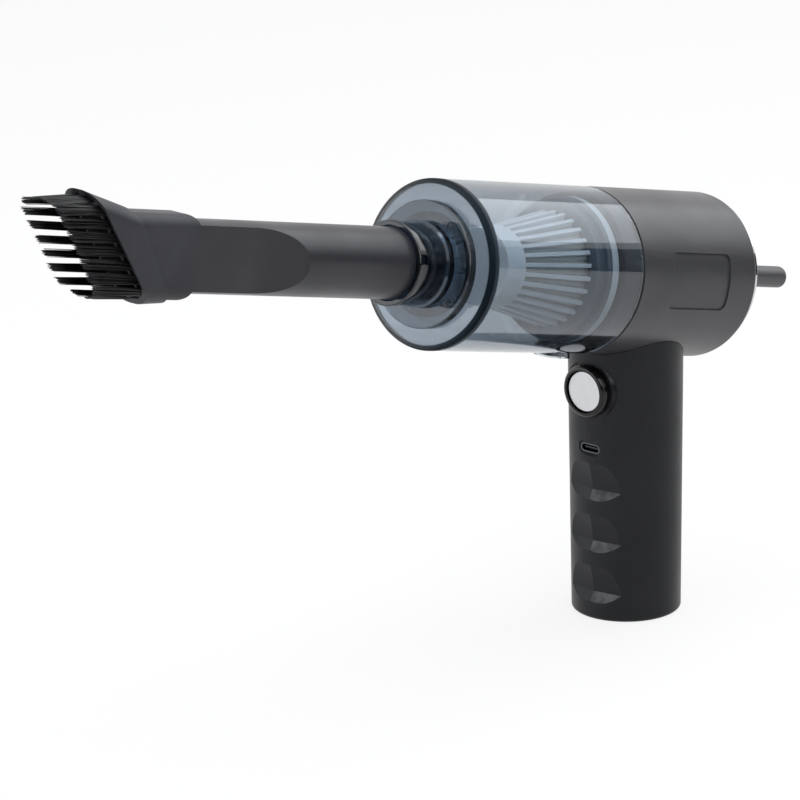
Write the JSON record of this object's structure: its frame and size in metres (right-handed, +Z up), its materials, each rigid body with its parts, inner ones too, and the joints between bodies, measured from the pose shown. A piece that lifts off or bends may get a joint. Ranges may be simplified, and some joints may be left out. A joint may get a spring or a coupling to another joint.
{
  "type": "mini vacuum cleaner",
  "caption": "Cordless pistol-shaped desk vacuum with a clear dust cup, crevice nozzle, brush head and blower tip, standing on its handle.",
  "frame": {"origin": "middle of the flat bottom of the handle, on which the vacuum stands", "axes": "+Z up along the handle, -X towards the nose, -Y the side with the recessed panel"},
  "size_m": [0.395, 0.062, 0.2239],
  "materials": {
    "housing_plastic": "matte",
    "cover_plastic": "matte",
    "handle_plastic": "satin",
    "nozzle_plastic": "matte",
    "brush_plastic": "matte",
    "tip_plastic": "matte",
    "clear_cup": "gloss",
    "collar_plastic": "gloss",
    "trim_metal": "polished",
    "disc_metal": "satin",
    "bezel_plastic": "gloss",
    "filter_plastic": "satin",
    "filter_paper": "matte",
    "seal_rubber": "matte",
    "bristle_filament": "matte",
    "inner_plastic": "matte",
    "motor_steel": "satin",
    "magnet_ferrite": "matte",
    "core_steel": "matte",
    "copper_wire": "satin",
    "bearing_bronze": "satin",
    "spring_steel": "polished",
    "board_resin": "satin",
    "cell_sleeve": "satin",
    "lead_black": "satin",
    "lead_red": "satin",
    "light_plastic": "gloss"
  },
  "bodies": {
    "body": {"motor_housing": "housing_plastic", "cup_seal_ring": "seal_rubber", "rear_trim_ring": "trim_metal", "rear_cover": "cover_plastic", "outlet_socket": "inner_plastic", "motor_can": "motor_steel", "motor_end_bell": "inner_plastic", "front_bearing": "bearing_bronze", "rear_bearing": "bearing_bronze", "motor_magnets": "magnet_ferrite", "motor_mount": "inner_plastic", "motor_screws": "spring_steel", "fan_shroud": "inner_plastic", "intake_grille": "inner_plastic", "handle_shell": "handle_plastic", "handle_end_cap": "handle_plastic", "battery_cells": "cell_sleeve", "battery_contacts": "spring_steel", "battery_holder": "inner_plastic", "circuit_board": "board_resin", "tact_switch": "inner_plastic", "usb_c_shell": "spring_steel", "usb_c_tongue": "inner_plastic", "charge_light": "light_plastic", "button_bezel": "bezel_plastic", "button_spring": "spring_steel", "motor_lead_black": "lead_black", "motor_lead_red": "lead_red"},
    "rotor": {"rotor_shaft": "spring_steel", "rotor_core": "core_steel", "rotor_windings": "copper_wire", "commutator": "copper_wire", "impeller": "inner_plastic", "impeller_nut": "spring_steel"},
    "filter": {"filter_seal": "seal_rubber", "filter_frame": "filter_plastic", "filter_pleats": "filter_paper"},
    "dust_cup": {"cup_shell": "clear_cup", "inlet_collar": "collar_plastic", "release_spring": "spring_steel"},
    "cup_release": {"release_button": "clear_cup"},
    "nozzle": {"crevice_nozzle": "nozzle_plastic"},
    "brush": {"brush_sleeve": "brush_plastic", "bristles_left": "bristle_filament", "bristles_right": "bristle_filament"},
    "blower_tip": {"blower_tip": "tip_plastic"},
    "power_button": {"button_cap": "bezel_plastic", "button_disc": "disc_metal"}
  },
  "joints": [
    {"name": "motor_spin", "type": "hinge", "parent": "body", "child": "rotor", "pos_m": [0, 0, 0.1313], "axis": [-0.971, 0, 0.2392], "continuous": true},
    {"name": "cup_pull", "type": "slide", "parent": "body", "child": "dust_cup", "axis": [-0.971, 0, 0.2392], "range_m": [0, 0.09]},
    {"name": "filter_pull", "type": "slide", "parent": "body", "child": "filter", "axis": [-0.971, 0, 0.2392], "range_m": [0, 0.02]},
    {"name": "nozzle_pull", "type": "slide", "parent": "dust_cup", "child": "nozzle", "axis": [-0.971, 0, 0.2392], "range_m": [0, 0.03]},
    {"name": "brush_pull", "type": "slide", "parent": "nozzle", "child": "brush", "axis": [-0.971, 0, 0.2392], "range_m": [0, 0.05]},
    {"name": "tip_pull", "type": "slide", "parent": "body", "child": "blower_tip", "axis": [0.971, 0, -0.2392], "range_m": [0, 0.015]},
    {"name": "power_press", "type": "slide", "parent": "body", "child": "power_button", "axis": [1, 0, 0], "range_m": [0, 0.0012], "stiffness_N_per_m": 900, "deforming": ["button_spring"]},
    {"name": "release_press", "type": "slide", "parent": "dust_cup", "child": "cup_release", "axis": [0.2392, 0, 0.971], "range_m": [0, 0.0009], "stiffness_N_per_m": 700, "deforming": ["release_spring"]}
  ]
}
